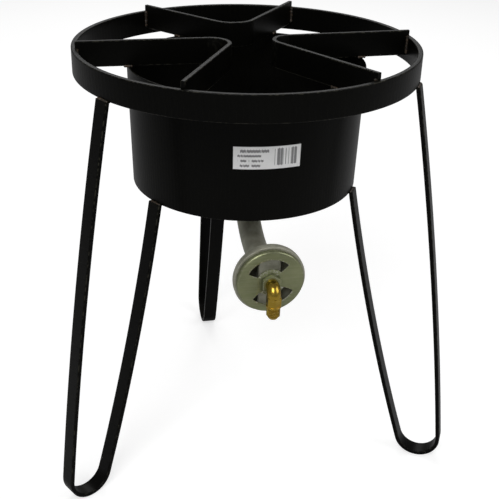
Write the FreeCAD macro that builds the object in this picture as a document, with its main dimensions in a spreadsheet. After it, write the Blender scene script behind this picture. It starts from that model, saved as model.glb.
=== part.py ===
import FreeCAD, Part
import Sketcher
import math
import os

os.makedirs("parts", exist_ok=True)
doc = FreeCAD.newDocument("burner_stand")
V = FreeCAD.Vector

# Driving dimensions, millimetres and degrees. Z is up, the floor is Z = 0, the ring's axis is X = Y = 0.
sizes = {
    # top ring, a flat bar rolled on edge
    "ring_diameter": 406,
    "ring_depth": 30,
    "ring_thickness": 6,
    "ring_top": 534,
    # V-shaped pot supports inside the ring
    "support_depth": 30,
    "support_thickness": 5,
    "support_rise": 8,
    "support_half_angle": 30,
    "front_support_apex": 34,
    "front_support_bend": 22,
    "rear_support_apex": 62,
    "rear_support_bend": 28,
    # hairpin legs
    "leg_width": 20,
    "leg_thickness": 5,
    "leg_overhang": 3,
    "foot_radius": 254,
    "foot_bend": 27,
    "outer_strip_arc": 5600,
    "inner_strip_arc": 2900,
    # wind shroud, rolled sheet
    "shroud_top_radius": 140.5,
    "shroud_bottom_radius": 137,
    "shroud_wall": 1.5,
    "shroud_height": 145,
    # sticker on the shroud
    "label_width": 31,
    "label_height": 26,
    "label_drop": 56,
    "label_thickness": 0.25,
    "label_direction": 268,
    # straps across the foot of the shroud
    "strap_width": 20,
    "strap_thickness": 4,
    "strap_lift": 6,
    "strap_offset": 32,
    # cast burner
    "head_radius": 76,
    "head_rim_width": 12,
    "head_rim_height": 15,
    "head_floor": 8,
    "head_bottom_radius": 24,
    "head_seat": 48,
    "head_depth": 29,
    "ear_thickness": 7,
    "ear_width": 24,
    "ear_overhang": 11,
    "tube_radius": 14.5,
    "tube_wall": 3.5,
    "tube_bend": 92,
    "mouth_reach": 149,
    "mouth_drop": 69,
    "mixer_slope": 2,
    "bell_radius": 42,
    "bell_wall": 5,
    "bell_rim": 10,
    "bell_depth": 27,
    "bell_shoulder_radius": 33,
    "bell_shoulder_depth": 20,
    "bridge_width": 26,
    "bridge_thickness": 8,
    "hub_radius": 13,
    "hub_stand": 5,
    # burner cap
    "cap_overhang": 2,
    "cap_thickness": 6,
    "cap_crown": 6,
    "cap_crown_radius": 58,
    # fasteners
    "bolt_radius": 3,
    "bolt_clearance": 0.3,
    "hex_circumradius": 5.8,
    "bolt_head_height": 4,
    "nut_height": 5,
    "washer_radius": 7,
    "washer_thickness": 1.5,
    "screw_radius": 2.5,
    "screw_head_radius": 4.5,
    "screw_head_height": 3,
    "screw_depth": 10,
    "screw_circle": 70,
    # air shutter, a pressed dish that turns on the spud
    "shutter_radius": 39.5,
    "shutter_metal": 1.2,
    "shutter_gap": 0.3,
    "shutter_corner": 2.5,
    "slot_inner_radius": 17,
    "slot_outer_radius": 29,
    "slot_sweep": 108,
    "slot_turn": 10,
    # gas inlet
    "spud_radius": 6.5,
    "spud_fit": 0.05,
    "spud_inside": 12,
    "spud_tip": 6,
    "spud_tip_radius": 3.5,
    "spud_bore": 2.5,
    "orifice_radius": 0.6,
    "orifice_length": 3,
    "friction_washer_radius": 10,
    "friction_washer_thickness": 1.2,
    "friction_washer_gap": 0.1,
    "lock_nut_circumradius": 12,
    "lock_nut_height": 5,
    "elbow_socket_radius": 5,
    "elbow_socket_depth": 6,
    "elbow_radius": 8,
    "elbow_reach": 23,
    "elbow_drop": 37,
    "elbow_bend": 8.5,
    "elbow_bore": 3.2,
    "elbow_hex_circumradius": 9,
    "elbow_hex_height": 11.5,
    "thread_radius": 7.94,
    "thread_collar_radius": 8.8,
    "thread_collar_height": 2,
    "flare_nose_height": 4,
    "flare_nose_radius": 5,
}

sheet = doc.addObject("Spreadsheet::Sheet", "sizes")
for row, (name, value) in enumerate(sizes.items(), start=1):
    sheet.set(f"A{row}", str(value))
    sheet.setAlias(f"A{row}", name)
doc.recompute()


def cells(expression):
    """Put the sheet's name in front of every size in an expression."""
    words = []
    word = ""
    for letter in expression + " ":
        if letter.isalnum() or letter in "_.":
            word += letter
            continue
        words.append("sizes." + word if word in sizes else word)
        words.append(letter)
        word = ""
    return "".join(words).strip()


def bind(thing, place, expression):
    thing.setExpression(place, cells(expression))


def new_body(name):
    body = doc.addObject("PartDesign::Body", name)
    body.Label = name
    return body


def sketch_on(body, role, name, offset=None):
    """A sketch on one of the body's origin planes, moved within it by (x, y, z, turn axis, turn)."""
    sketch = body.newObject("Sketcher::SketchObject", name)
    plane = next(item for item in body.Origin.OriginFeatures if item.Role == role)
    sketch.AttachmentSupport = [(plane, "")]
    sketch.MapMode = "FlatFace"
    if offset:
        x, y, z, axis, turn = offset
        sketch.AttachmentOffset = FreeCAD.Placement(V(0, 0, 0), FreeCAD.Rotation(axis, 1))
        bind(sketch, "AttachmentOffset.Base.x", x)
        bind(sketch, "AttachmentOffset.Base.y", y)
        bind(sketch, "AttachmentOffset.Base.z", z)
        bind(sketch, "AttachmentOffset.Rotation.Angle", turn)
    return sketch


def pin_point(sketch, geometry, point, x, y):
    """Fix a sketch point at (x, y), two expressions."""
    spot = sketch.getPoint(geometry, point)
    for kind, now, expression in (("DistanceX", spot.x, x), ("DistanceY", spot.y, y)):
        constraint = sketch.addConstraint(Sketcher.Constraint(kind, -1, 1, geometry, point, now))
        bind(sketch, f"Constraints[{constraint}]", expression)


def set_radius(sketch, geometry, expression):
    now = sketch.Geometry[geometry].Radius
    constraint = sketch.addConstraint(Sketcher.Constraint("Radius", geometry, now))
    bind(sketch, f"Constraints[{constraint}]", expression)


def join(sketch, kind, *ends):
    sketch.addConstraint(Sketcher.Constraint(kind, *ends))


def polygon(sketch, corners):
    """A closed outline through corners, each an (x, y) pair of expressions."""
    count = len(corners)
    ring = [V(math.cos(2 * math.pi * i / count), math.sin(2 * math.pi * i / count), 0) for i in range(count)]
    first = sketch.GeometryCount
    for i in range(count):
        sketch.addGeometry(Part.LineSegment(ring[i], ring[(i + 1) % count]), False)
    for i, (x, y) in enumerate(corners):
        join(sketch, "Coincident", first + i, 2, first + (i + 1) % count, 1)
        pin_point(sketch, first + i, 1, x, y)


def circle(sketch, x, y, radius):
    geometry = sketch.addGeometry(Part.Circle(V(0, 0, 0), V(0, 0, 1), 1.0), False)
    pin_point(sketch, geometry, 3, x, y)
    set_radius(sketch, geometry, radius)


def feature(body, kind, name, sketch, **settings):
    item = body.newObject("PartDesign::" + kind, name)
    item.Profile = (sketch, [""])
    for setting, value in settings.items():
        setattr(item, setting, value)
    return item


def pad(body, name, sketch, length, **settings):
    item = feature(body, "Pad", name, sketch, **settings)
    bind(item, "Length", length)
    return item


def turn(body, name, sketch, axis="V_Axis", cut=False):
    kind = "Groove" if cut else "Revolution"
    return feature(body, kind, name, sketch, ReferenceAxis=(sketch, [axis]), Angle=360)


def turned(name, corners, role="XZ_Plane"):
    """A body of revolution about the sketch's vertical axis; corners are (radius, height)."""
    body = new_body(name)
    sketch = sketch_on(body, role, name + "_section")
    polygon(sketch, corners)
    turn(body, name + "_turned", sketch)
    return body


def arc(sketch, centre, start, end):
    """An arc from start to end, anticlockwise about centre."""
    radius = start.distanceToPoint(centre)
    angles = [math.atan2(p.y - centre.y, p.x - centre.x) for p in (start, end)]
    if angles[1] < angles[0]:
        angles[1] += 2 * math.pi
    return sketch.addGeometry(Part.ArcOfCircle(Part.Circle(centre, V(0, 0, 1), radius), *angles), False)


def line(sketch, start, end):
    return sketch.addGeometry(Part.LineSegment(start, end), False)


# ---- frame -----------------------------------------------------------------------------------------------

ring_inner = "ring_diameter / 2 - ring_thickness"
ring_bottom = "ring_top - ring_depth"
support_top = "ring_top + support_rise"
shroud_top = "ring_top + support_rise - support_depth"
shroud_bottom = "ring_top + support_rise - support_depth - shroud_height"
shroud_foot = sizes["ring_top"] + sizes["support_rise"] - sizes["support_depth"] - sizes["shroud_height"]

pot_ring = turned("pot_ring", [
    (ring_inner, ring_bottom),
    ("ring_diameter / 2", ring_bottom),
    ("ring_diameter / 2", "ring_top"),
    (ring_inner, "ring_top"),
])


def pot_support(name, which, direction):
    """A flat bar bent to a V; its two ends meet the ring's inner wall."""
    apex, bend = sizes[which + "_support_apex"], sizes[which + "_support_bend"]
    reach = sizes["ring_diameter"] / 2 - sizes["ring_thickness"]
    half_angle = math.radians(sizes["support_half_angle"])
    half_bar = sizes["support_thickness"] / 2
    centre = V(0, apex + bend, 0)
    tip = V(reach * math.sin(half_angle), reach * math.cos(half_angle), 0)
    span = tip - centre
    # the arm's outer face leaves the bend at this angle from the X axis
    leave = math.atan2(span.y, span.x) - math.acos((bend + half_bar) / span.Length)

    body = new_body(name)
    sketch = sketch_on(body, "XY_Plane", name + "_outline")
    bends = []
    arms = []
    for offset in (half_bar, -half_bar):
        right = centre + V(math.cos(leave), math.sin(leave), 0) * (bend + offset)
        left = V(-right.x, right.y, 0)
        far = tip + V(math.cos(leave), math.sin(leave), 0) * (offset - half_bar)
        bends.append(arc(sketch, centre, left, right))
        arms.append((line(sketch, right, far), line(sketch, left, V(-far.x, far.y, 0))))
    for bend_arc, sign in zip(bends, ("+", "-")):
        pin_point(sketch, bend_arc, 3, "0", f"{which}_support_apex + {which}_support_bend")
        set_radius(sketch, bend_arc, f"{which}_support_bend {sign} support_thickness / 2")
    for side, turn_sign in ((0, ""), (1, "-")):
        outer, inner = arms[0][side], arms[1][side]
        for bend_arc, arm in zip(bends, (outer, inner)):
            join(sketch, "Tangent", bend_arc, 2 - side, arm, 1)
        pin_point(sketch, outer, 2, f"{turn_sign}({ring_inner}) * sin(support_half_angle)",
                  f"({ring_inner}) * cos(support_half_angle)")
        join(sketch, "Parallel", outer, inner)
        ends = [sketch.Geometry[item].EndPoint for item in (outer, inner)]
        start, finish = (0, 1) if side == 0 else (1, 0)
        cap = arc(sketch, V(0, 0, 0), ends[start], ends[finish])
        join(sketch, "Coincident", cap, 3, -1, 1)
        join(sketch, "Coincident", cap, 1 + start, outer, 2)
        join(sketch, "Coincident", cap, 1 + finish, inner, 2)
    pad(body, name + "_bar", sketch, "support_depth")
    body.Placement = FreeCAD.Placement(V(0, 0, 0), FreeCAD.Rotation(V(0, 0, 1), direction - 90))
    bind(body, "Placement.Base.z", shroud_top)
    return body


supports = [
    pot_support("pot_support_left", "front", 210),
    pot_support("pot_support_right", "front", 330),
    pot_support("pot_support_rear", "rear", 90),
]


def common_centre(point, centre, radius, bend, side):
    """Centre of a large circle through point that holds the bend's circle and touches it."""
    span = centre - point
    along = (radius ** 2 - (radius - bend) ** 2 + span.Length ** 2) / (2 * span.Length)
    across = math.sqrt(radius ** 2 - along ** 2)
    unit = V(span).normalize()
    return point + unit * along + V(-unit.y, unit.x, 0) * across * side


def leg(name, direction):
    """A flat bar bent to a hairpin: outer strip to the ring, inner strip to the shroud."""
    half_bar = sizes["leg_thickness"] / 2
    bend = sizes["foot_bend"]
    ring_foot = sizes["ring_top"] - sizes["ring_depth"]
    foot = V(sizes["foot_radius"], bend + half_bar, 0)
    outer_tip = V(sizes["ring_diameter"] / 2 + sizes["leg_overhang"], ring_foot, 0)
    inner_tip = V(sizes["shroud_bottom_radius"] - sizes["shroud_wall"], shroud_foot, 0)

    body = new_body(name)
    sketch = sketch_on(body, "XZ_Plane", name + "_outline")
    strips = []
    for tip, arc_size, side in ((outer_tip, "outer_strip_arc", -1), (inner_tip, "inner_strip_arc", 1)):
        radius = sizes[arc_size] + half_bar
        centre = common_centre(tip, foot, radius, bend + half_bar, side)
        strips.append((centre, tip, math.atan2(foot.y - centre.y, foot.x - centre.x), arc_size))
    faces = []
    for offset in (half_bar, -half_bar):
        touches = [foot + V(math.cos(s[2]), math.sin(s[2]), 0) * (bend + offset) for s in strips]
        tips = [s[1] + (s[0] - s[1]).normalize() * (half_bar - offset) for s in strips]
        outer = arc(sketch, strips[0][0], touches[0], tips[0])
        turn_arc = arc(sketch, foot, touches[1], touches[0])
        inner = arc(sketch, strips[1][0], tips[1], touches[1])
        faces.append((outer, turn_arc, inner))
    for (outer, turn_arc, inner), sign in zip(faces, ("+", "-")):
        pin_point(sketch, turn_arc, 3, "foot_radius", "foot_bend + leg_thickness / 2")
        set_radius(sketch, turn_arc, f"foot_bend {sign} leg_thickness / 2")
        join(sketch, "Tangent", outer, 1, turn_arc, 2)
        join(sketch, "Tangent", inner, 2, turn_arc, 1)
    outside, inside = faces
    set_radius(sketch, outside[0], "outer_strip_arc + leg_thickness / 2")
    set_radius(sketch, outside[2], "inner_strip_arc + leg_thickness / 2")
    pin_point(sketch, outside[0], 2, "ring_diameter / 2 + leg_overhang", ring_bottom)
    pin_point(sketch, outside[2], 1, "shroud_bottom_radius - shroud_wall", shroud_bottom)
    for strip, end in ((0, 2), (2, 1)):
        join(sketch, "Coincident", inside[strip], 3, outside[strip], 3)
        tips = [sketch.getPoint(face[strip], end) for face in faces]
        cut = line(sketch, *tips)
        join(sketch, "Coincident", cut, 1, outside[strip], end)
        join(sketch, "Coincident", cut, 2, inside[strip], end)
        join(sketch, "Horizontal", cut)
    pad(body, name + "_bar", sketch, "leg_width", Midplane=True)
    body.Placement = FreeCAD.Placement(V(0, 0, 0), FreeCAD.Rotation(V(0, 0, 1), direction))
    return body


legs = [leg("leg_front_left", 210), leg("leg_front_right", 330), leg("leg_rear", 90)]


# ---- wind shroud and its sticker -------------------------------------------------------------------------

wind_shroud = turned("wind_shroud", [
    ("shroud_bottom_radius - shroud_wall", shroud_bottom),
    ("shroud_bottom_radius", shroud_bottom),
    ("shroud_top_radius", shroud_top),
    ("shroud_top_radius - shroud_wall", shroud_top),
])

label_top = f"({shroud_top}) - label_drop"
label_bottom = f"({shroud_top}) - label_drop - label_height"


def shroud_face(drop):
    """Outer radius of the shroud at a drop below its rim."""
    return f"shroud_top_radius - (shroud_top_radius - shroud_bottom_radius) * ({drop}) / shroud_height"


shroud_label = turned("shroud_label", [
    (shroud_face("label_drop + label_height"), label_bottom),
    (shroud_face("label_drop + label_height") + " + label_thickness", label_bottom),
    (shroud_face("label_drop") + " + label_thickness", label_top),
    (shroud_face("label_drop"), label_top),
])
shroud_label.Tip.Midplane = True
bind(shroud_label.Tip, "Angle", "label_width")
shroud_label.Placement = FreeCAD.Placement(V(0, 0, 0), FreeCAD.Rotation(V(0, 0, 1), 1))
bind(shroud_label, "Placement.Rotation.Angle", "label_direction")


# ---- burner straps ---------------------------------------------------------------------------------------

def primitive(kind, name, dimensions, z="0", x="0", y="0"):
    item = doc.addObject("Part::" + kind, name)
    for key, expression in dimensions.items():
        bind(item, key, expression)
    for axis, expression in (("x", x), ("y", y), ("z", z)):
        bind(item, "Placement.Base." + axis, expression)
    return item


def boolean(kind, name, base, tool):
    item = doc.addObject("Part::" + kind, name)
    item.Base = base
    item.Tool = tool
    item.Label = name
    return item


strap_bottom = f"{shroud_bottom} + strap_lift"
strap_top = f"{strap_bottom} + strap_thickness"

shroud_inside = primitive("Cone", "shroud_inside", {
    "Radius1": "shroud_bottom_radius - shroud_wall",
    "Radius2": "shroud_top_radius - shroud_wall",
    "Height": "shroud_height",
}, z=shroud_bottom)


def burner_strap(name, side):
    """A flat strap across the shroud, cut to its wall, with a bolt hole in the middle."""
    blank = primitive("Box", name + "_blank", {
        "Length": "2 * shroud_top_radius",
        "Width": "strap_width",
        "Height": "strap_thickness",
    }, z=strap_bottom, x="-shroud_top_radius", y=f"{side} * strap_offset - strap_width / 2")
    hole = primitive("Cylinder", name + "_hole", {
        "Radius": "bolt_radius + bolt_clearance",
        "Height": "strap_thickness",
    }, z=strap_bottom, y=f"{side} * strap_offset")
    fitted = boolean("Common", name + "_fitted", blank, shroud_inside)
    return boolean("Cut", name, fitted, hole)


burner_strap_front = burner_strap("burner_strap_front", -1)
burner_strap_rear = burner_strap("burner_strap_rear", 1)


# ---- cast burner: head, mounting ears, mixer tube, bell and bridge ---------------------------------------

head_seat = f"{strap_top} + head_seat"
head_foot = f"{head_seat} - head_depth"
tube_start = f"{head_foot} + head_floor"
mouth_height = f"{shroud_bottom} - mouth_drop"
slope = math.radians(sizes["mixer_slope"])


def mouth_plane(body, name, forward="0"):
    """A sketch square to the mixer tube's axis, a distance in front of the bell's mouth."""
    return sketch_on(body, "XZ_Plane", name, (
        "0",
        f"{mouth_height} - ({forward}) * sin(mixer_slope)",
        f"mouth_reach + ({forward}) * cos(mixer_slope)",
        V(1, 0, 0), "mixer_slope"))


def axis_plane(body, name):
    """A sketch that holds the mixer tube's axis as its X axis, with the mouth at its origin."""
    return sketch_on(body, "YZ_Plane", name, ("-mouth_reach", mouth_height, "0", V(0, 0, 1), "mixer_slope"))


def bent_path(body, name, bend, start, corner, end):
    """A line, a bend and a line in the YZ plane; start and end are (point, (x, y) expressions) pairs."""
    inward = (corner - start[0]).normalize()
    away = (end[0] - corner).normalize()
    half_turn = inward.getAngle(away) / 2
    first_touch = corner - inward * sizes[bend] * math.tan(half_turn)
    second_touch = corner + away * sizes[bend] * math.tan(half_turn)
    centre = corner + (away - inward).normalize() * (sizes[bend] / math.cos(half_turn))
    sketch = sketch_on(body, "YZ_Plane", name)
    first = line(sketch, start[0], first_touch)
    clockwise = inward.cross(away).z < 0
    touches = (second_touch, first_touch) if clockwise else (first_touch, second_touch)
    bend_arc = arc(sketch, centre, *touches)
    second = line(sketch, end[0], second_touch)
    join(sketch, "Tangent", first, 2, bend_arc, 2 if clockwise else 1)
    join(sketch, "Tangent", second, 2, bend_arc, 1 if clockwise else 2)
    set_radius(sketch, bend_arc, bend)
    pin_point(sketch, first, 1, *start[1])
    pin_point(sketch, second, 1, *end[1])
    return sketch, first, second


burner_casting = new_body("burner_casting")
head_section = sketch_on(burner_casting, "XZ_Plane", "head_section")
polygon(head_section, [
    ("0", head_foot),
    ("head_bottom_radius", head_foot),
    ("head_radius", f"{head_seat} - head_rim_height"),
    ("head_radius", head_seat),
    ("head_radius - head_rim_width", head_seat),
    ("head_radius - head_rim_width", f"{head_seat} - head_rim_height + head_floor * 3 / 4"),
    ("head_bottom_radius", tube_start),
    ("0", tube_start),
])
turn(burner_casting, "head", head_section)

tube_start_now = shroud_foot - sizes["head_depth"] + sum(sizes[name] for name in (
    "strap_lift", "strap_thickness", "head_seat", "head_floor"))
reach, height = sizes["mouth_reach"], shroud_foot - sizes["mouth_drop"]
mixer_path, riser_line, mixer_line = bent_path(
    burner_casting, "mixer_path", "tube_bend",
    (V(0, tube_start_now, 0), ("0", tube_start)),
    V(0, height + reach * math.tan(slope), 0),
    (V(-reach, height, 0), ("-mouth_reach", mouth_height)))
join(mixer_path, "Vertical", riser_line)
mixer_angle = mixer_path.addConstraint(Sketcher.Constraint("Angle", mixer_line, slope))
bind(mixer_path, f"Constraints[{mixer_angle}]", "mixer_slope * 1deg")


def pipe(body, name, path, radius, start, cut=False, edges=("Edge1", "Edge2", "Edge3")):
    """Sweep a circle at a level plane, or one square to Y, along a path sketch."""
    role, offset = start
    sketch = sketch_on(body, role, name + "_section", offset)
    circle(sketch, "0", "0", radius)
    kind = "SubtractivePipe" if cut else "AdditivePipe"
    return feature(body, kind, name, sketch, Spine=(path, list(edges)))


tube_mouth = ("XY_Plane", ("0", "0", tube_start, V(0, 0, 1), "0"))
pipe(burner_casting, "tube_outside", mixer_path, "tube_radius", tube_mouth)

bell_section = axis_plane(burner_casting, "bell_section")
polygon(bell_section, [
    ("0", "0"),
    ("0", "bell_radius"),
    ("bell_rim", "bell_radius"),
    ("bell_shoulder_depth", "bell_shoulder_radius"),
    ("bell_depth", "tube_radius"),
    ("bell_depth", "0"),
])
turn(burner_casting, "bell", bell_section, "H_Axis")
bell_hollow = axis_plane(burner_casting, "bell_hollow")
polygon(bell_hollow, [
    ("0", "0"),
    ("0", "bell_radius - bell_wall"),
    ("bell_rim - 1", "bell_radius - bell_wall"),
    ("bell_shoulder_depth - bell_wall", "bell_shoulder_radius - bell_wall / 2"),
    ("bell_depth - bell_wall", "tube_radius - tube_wall"),
    ("bell_depth - bell_wall", "0"),
])
turn(burner_casting, "bell_inside", bell_hollow, "H_Axis", cut=True)
pipe(burner_casting, "tube_passage", mixer_path, "tube_radius - tube_wall", tube_mouth, cut=True)

bridge_outline = mouth_plane(burner_casting, "bridge_outline")
polygon(bridge_outline, [
    ("bridge_width / 2", "bell_wall / 2 - bell_radius"),
    ("bridge_width / 2", "bell_radius - bell_wall / 2"),
    ("-bridge_width / 2", "bell_radius - bell_wall / 2"),
    ("-bridge_width / 2", "bell_wall / 2 - bell_radius"),
])
pad(burner_casting, "bridge", bridge_outline, "bridge_thickness", Reversed=True)
hub_outline = mouth_plane(burner_casting, "hub_outline")
circle(hub_outline, "0", "0", "hub_radius")
pad(burner_casting, "hub", hub_outline, "hub_stand")
hub_bore = mouth_plane(burner_casting, "hub_bore", "hub_stand")
circle(hub_bore, "0", "0", "spud_radius")
bored = feature(burner_casting, "Pocket", "hub_bored", hub_bore)
bind(bored, "Length", "hub_stand + bridge_thickness")

ear_outline = sketch_on(burner_casting, "XY_Plane", "ear_outline", ("0", "0", strap_top, V(0, 0, 1), "0"))
for sign in (1, -1):
    circle(ear_outline, "0", f"{sign} * strap_offset", "bolt_radius + bolt_clearance")
polygon(ear_outline, [
    ("ear_width / 2", "-strap_offset - ear_overhang"),
    ("ear_width / 2", "strap_offset + ear_overhang"),
    ("-ear_width / 2", "strap_offset + ear_overhang"),
    ("-ear_width / 2", "-strap_offset - ear_overhang"),
])
circle(ear_outline, "0", "0", "tube_radius - tube_wall / 2")
pad(burner_casting, "ears", ear_outline, "ear_thickness")

screw_directions = (90, 210, 330)


def screw_place(direction):
    return f"screw_circle * cos({direction})", f"screw_circle * sin({direction})"


def screw_holes(body, name, height, radius, depth):
    sketch = sketch_on(body, "XY_Plane", name, ("0", "0", height, V(0, 0, 1), "0"))
    for direction in screw_directions:
        circle(sketch, *screw_place(direction), radius)
    holes = feature(body, "Pocket", name + "_cut", sketch)
    bind(holes, "Length", depth)


screw_holes(burner_casting, "head_screw_holes", head_seat, "screw_radius", "screw_depth")

cap_rim_top = f"{head_seat} + cap_thickness"
burner_cap = turned("burner_cap", [
    ("0", head_seat),
    ("head_radius + cap_overhang", head_seat),
    ("head_radius + cap_overhang", cap_rim_top),
    ("cap_crown_radius", cap_rim_top),
    ("cap_crown_radius - cap_crown * 2", f"{cap_rim_top} + cap_crown"),
    ("0", f"{cap_rim_top} + cap_crown"),
])
screw_holes(burner_cap, "cap_screw_holes", cap_rim_top, "screw_radius + bolt_clearance", "cap_thickness")


# ---- fasteners, each set of identical ones in one node ---------------------------------------------------

def place_at(body, x, y, z):
    for axis, expression in (("x", x), ("y", y), ("z", z)):
        bind(body, "Placement.Base." + axis, expression)
    return body


def group(name, members):
    item = doc.addObject("Part::Compound", name)
    item.Links = members
    item.Label = name
    return item


def hexagon(sketch, radius):
    polygon(sketch, [(f"{radius} * cos({60 * i})", f"{radius} * sin({60 * i})") for i in range(6)])


def cap_screw(number, direction):
    body = turned(f"cap_screw_{number}", [
        ("0", "-cap_thickness - screw_depth"),
        ("screw_radius", "-cap_thickness - screw_depth"),
        ("screw_radius", "0"),
        ("screw_head_radius", "0"),
        ("screw_head_radius", "screw_head_height / 2"),
        ("screw_radius", "screw_head_height"),
        ("0", "screw_head_height"),
    ])
    return place_at(body, *screw_place(direction), cap_rim_top)


def burner_bolt(name, y):
    body = new_body(name)
    head = sketch_on(body, "XY_Plane", name + "_head")
    hexagon(head, "hex_circumradius")
    pad(body, name + "_head_pad", head, "bolt_head_height")
    shank = sketch_on(body, "XY_Plane", name + "_shank")
    circle(shank, "0", "0", "bolt_radius")
    grip = "ear_thickness + strap_thickness + washer_thickness + nut_height + 2"
    pad(body, name + "_shank_pad", shank, grip, Reversed=True)
    return place_at(body, "0", y, f"{strap_top} + ear_thickness")


def burner_washer(name, y):
    body = turned(name, [
        ("bolt_radius + bolt_clearance", "-washer_thickness"),
        ("washer_radius", "-washer_thickness"),
        ("washer_radius", "0"),
        ("bolt_radius + bolt_clearance", "0"),
    ])
    return place_at(body, "0", y, strap_bottom)


def burner_nut(name, y):
    body = new_body(name)
    outline = sketch_on(body, "XY_Plane", name + "_outline")
    hexagon(outline, "hex_circumradius")
    circle(outline, "0", "0", "bolt_radius")
    pad(body, name + "_pad", outline, "nut_height", Reversed=True)
    return place_at(body, "0", y, f"{strap_bottom} - washer_thickness")


bolt_places = {"front": "-strap_offset", "rear": "strap_offset"}
cap_screws = group("cap_screws", [cap_screw(i, d) for i, d in enumerate(screw_directions, start=1)])
burner_bolts = group("burner_bolts", [burner_bolt("bolt_" + k, y) for k, y in bolt_places.items()])
burner_washers = group("burner_washers", [burner_washer("washer_" + k, y) for k, y in bolt_places.items()])
burner_nuts = group("burner_nuts", [burner_nut("nut_" + k, y) for k, y in bolt_places.items()])


# ---- air shutter and gas inlet, built along -Y from the bell's mouth -------------------------------------

shutter_face = "hub_stand + shutter_gap + shutter_metal"
washer_back = f"{shutter_face} + friction_washer_gap"
nut_back = f"{washer_back} + friction_washer_thickness"
nut_front = f"{nut_back} + lock_nut_height"


def at_mouth(body):
    """Turn a piece to the mixer tube's slope and set it on the bell's mouth."""
    body.Placement = FreeCAD.Placement(V(0, 0, 0), FreeCAD.Rotation(V(1, 0, 0), 1))
    bind(body, "Placement.Rotation.Angle", "mixer_slope")
    return place_at(body, "0", "-mouth_reach", mouth_height)


air_shutter = at_mouth(turned("air_shutter", [
    ("spud_radius + spud_fit", f"-({shutter_face})"),
    ("shutter_radius - shutter_corner", f"-({shutter_face})"),
    ("shutter_radius", f"shutter_corner - ({shutter_face})"),
    ("shutter_radius", "-shutter_gap"),
    ("shutter_radius - shutter_metal", "-shutter_gap"),
    ("shutter_radius - shutter_metal", f"shutter_corner + shutter_metal / 2 - ({shutter_face})"),
    ("shutter_radius - shutter_corner - shutter_metal / 2", f"shutter_metal - ({shutter_face})"),
    ("spud_radius + spud_fit", f"shutter_metal - ({shutter_face})"),
], role="XY_Plane"))


def shutter_slot(name, direction):
    """A slot between two radii, sweeping about a direction seen from the front."""
    sketch = sketch_on(air_shutter, "XZ_Plane", name, ("0", "0", shutter_face, V(0, 0, 1), "0"))
    swing = math.radians(sizes["slot_sweep"] / 2)
    middle = math.radians(direction + sizes["slot_turn"])
    corners = []
    rims = []
    for radius in ("slot_inner_radius", "slot_outer_radius"):
        ends = [V(math.cos(middle + side * swing), math.sin(middle + side * swing), 0) * sizes[radius]
                for side in (-1, 1)]
        rims.append(arc(sketch, V(0, 0, 0), *ends))
        corners.append(ends)
        set_radius(sketch, rims[-1], radius)
        for end, side in ((1, "-"), (2, "+")):
            angle = f"({direction} + slot_turn {side} slot_sweep / 2)"
            pin_point(sketch, rims[-1], end, f"{radius} * cos{angle}", f"{radius} * sin{angle}")
    for end in (0, 1):
        side = line(sketch, corners[0][end], corners[1][end])
        join(sketch, "Coincident", side, 1, rims[0], end + 1)
        join(sketch, "Coincident", side, 2, rims[1], end + 1)
    cut = feature(air_shutter, "Pocket", name + "_cut", sketch)
    bind(cut, "Length", "shutter_metal")


shutter_slot("upper_slot", 90)
shutter_slot("lower_slot", 270)

orifice_spud = at_mouth(turned("orifice_spud", [
    ("orifice_radius", "spud_inside + spud_tip"),
    ("spud_tip_radius", "spud_inside + spud_tip"),
    ("spud_radius", "spud_inside"),
    ("spud_radius", f"-({nut_front})"),
    ("elbow_socket_radius", f"-({nut_front})"),
    ("elbow_socket_radius", f"-({nut_front}) - elbow_socket_depth"),
    ("spud_bore", f"-({nut_front}) - elbow_socket_depth"),
    ("spud_bore", "spud_inside + spud_tip - orifice_length"),
    ("orifice_radius", "spud_inside + spud_tip - orifice_length"),
], role="XY_Plane"))

friction_washer = at_mouth(turned("friction_washer", [
    ("spud_radius", f"-({nut_back})"),
    ("friction_washer_radius", f"-({nut_back})"),
    ("friction_washer_radius", f"-({washer_back})"),
    ("spud_radius", f"-({washer_back})"),
], role="XY_Plane"))

lock_nut = new_body("lock_nut")
nut_outline = sketch_on(lock_nut, "XZ_Plane", "lock_nut_outline", ("0", "0", nut_back, V(0, 0, 1), "0"))
hexagon(nut_outline, "lock_nut_circumradius")
circle(nut_outline, "0", "0", "spud_radius")
pad(lock_nut, "lock_nut_pad", nut_outline, "lock_nut_height")
at_mouth(lock_nut)

inlet_elbow = new_body("inlet_elbow")
nut_front_now = sum(sizes[name] for name in (
    "hub_stand", "shutter_gap", "shutter_metal", "friction_washer_gap",
    "friction_washer_thickness", "lock_nut_height"))
elbow_path, neck_line, drop_line = bent_path(
    inlet_elbow, "elbow_path", "elbow_bend",
    (V(-nut_front_now, 0, 0), (f"-({nut_front})", "0")),
    V(-sizes["elbow_reach"], 0, 0),
    (V(-sizes["elbow_reach"], -sizes["elbow_drop"], 0), ("-elbow_reach", "-elbow_drop")))
join(elbow_path, "Horizontal", neck_line)
join(elbow_path, "Vertical", drop_line)
elbow_mouth = ("XZ_Plane", ("0", "0", nut_front, V(0, 0, 1), "0"))
pipe(inlet_elbow, "elbow_outside", elbow_path, "elbow_radius", elbow_mouth, edges=("Edge1", "Edge2"))
hex_outline = sketch_on(inlet_elbow, "XY_Plane", "hex_outline", (
    "0", "-elbow_reach", "-elbow_bend", V(0, 0, 1), "0"))
hexagon(hex_outline, "elbow_hex_circumradius")
pad(inlet_elbow, "elbow_hex", hex_outline, "elbow_hex_height", Reversed=True)
collar_top = "-elbow_bend - elbow_hex_height"
thread_top = f"{collar_top} - thread_collar_height"
flare_section = sketch_on(inlet_elbow, "YZ_Plane", "flare_section", (
    "-elbow_reach", "0", "0", V(0, 0, 1), "0"))
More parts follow.
